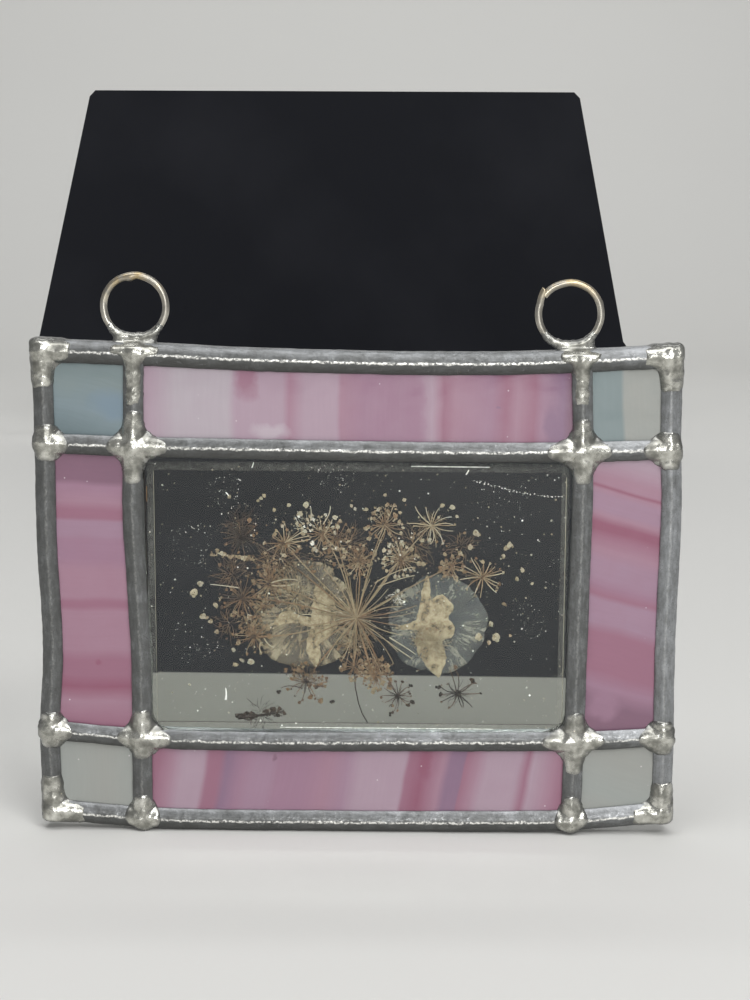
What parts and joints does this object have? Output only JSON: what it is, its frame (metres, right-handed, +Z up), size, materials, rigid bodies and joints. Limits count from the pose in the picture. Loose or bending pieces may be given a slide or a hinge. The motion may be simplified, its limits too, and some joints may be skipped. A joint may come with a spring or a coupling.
{
  "type": "pressed flower suncatcher",
  "caption": "Small leaded glass panel with streaky coloured glass round a clear bevelled pane that holds pressed dried flowers, hung by soldered wire rings.",
  "frame": {"origin": "hanging point, midway between the tops of the two ring eyes, in the middle of the panel's thickness", "axes": "+X to the right across the panel seen from the front, +Y through the panel from front to back, +Z up"},
  "size_m": [0.1677, 0.0086, 0.1467],
  "materials": {
    "blue_grey_glass": "pale blue-grey streaky opalescent glass, nearly opaque, smooth",
    "pink_glass": "pink, mauve and rose streaky opalescent glass, nearly opaque, smooth",
    "clear_glass": "clear polished glass, dusty on the inside, front pane with a ground bevel",
    "lead": "dull blue-grey lead with pale oxide patches and a worn bright ridge",
    "solder": "lumpy tin-lead solder, warm silver, bright on the high spots and dark in the pits",
    "ring_wire": "tinned wire, silvery with brown tarnish",
    "dried_stalks": "dry straw-coloured stalks with browner buds, matt",
    "papery_petals": "thin faded petals, translucent and crinkled, with tan calyx"
  },
  "bodies": {
    "root": {"glass_square_top_left": "blue_grey_glass", "glass_square_top_right": "blue_grey_glass", "glass_square_bottom_left": "blue_grey_glass", "glass_square_bottom_right": "blue_grey_glass", "glass_strip_top": "pink_glass", "glass_strip_bottom": "pink_glass", "glass_strip_left": "pink_glass", "glass_strip_right": "pink_glass", "centre_glass_back": "clear_glass", "centre_glass_front": "clear_glass", "border_bottom": "lead", "border_top": "lead", "border_right": "lead", "border_left": "lead", "came_upper": "lead", "came_lower": "lead", "came_left_bottom": "lead", "came_left_middle": "lead", "came_left_top": "lead", "came_right_bottom": "lead", "came_right_middle": "lead", "came_right_top": "lead", "solder_cross_upper_left_front": "solder", "solder_cross_upper_right_front": "solder", "solder_cross_lower_left_front": "solder", "solder_cross_lower_right_front": "solder", "solder_tee_left_upper_front": "solder", "solder_tee_left_lower_front": "solder", "solder_tee_right_upper_front": "solder", "solder_tee_right_lower_front": "solder", "solder_tee_bottom_left_front": "solder", "solder_tee_bottom_right_front": "solder", "solder_cross_upper_left_back": "solder", "solder_cross_upper_right_back": "solder", "solder_cross_lower_left_back": "solder", "solder_cross_lower_right_back": "solder", "solder_tee_left_upper_back": "solder", "solder_tee_left_lower_back": "solder", "solder_tee_right_upper_back": "solder", "solder_tee_right_lower_back": "solder", "solder_tee_bottom_left_back": "solder", "solder_tee_bottom_right_back": "solder", "solder_corner_top_left": "solder", "solder_corner_top_right": "solder", "solder_corner_bottom_left": "solder", "solder_corner_bottom_right": "solder", "ring_left": "ring_wire", "solder_hanger_left": "solder", "ring_right": "ring_wire", "solder_hanger_right": "solder", "pressed_umbel": "dried_stalks", "papery_bloom_left": "papery_petals", "papery_bloom_right": "papery_petals", "loose_umbel_right": "dried_stalks", "loose_umbel_low_right": "dried_stalks", "loose_sprig": "dried_stalks"}
  },
  "joints": []
}
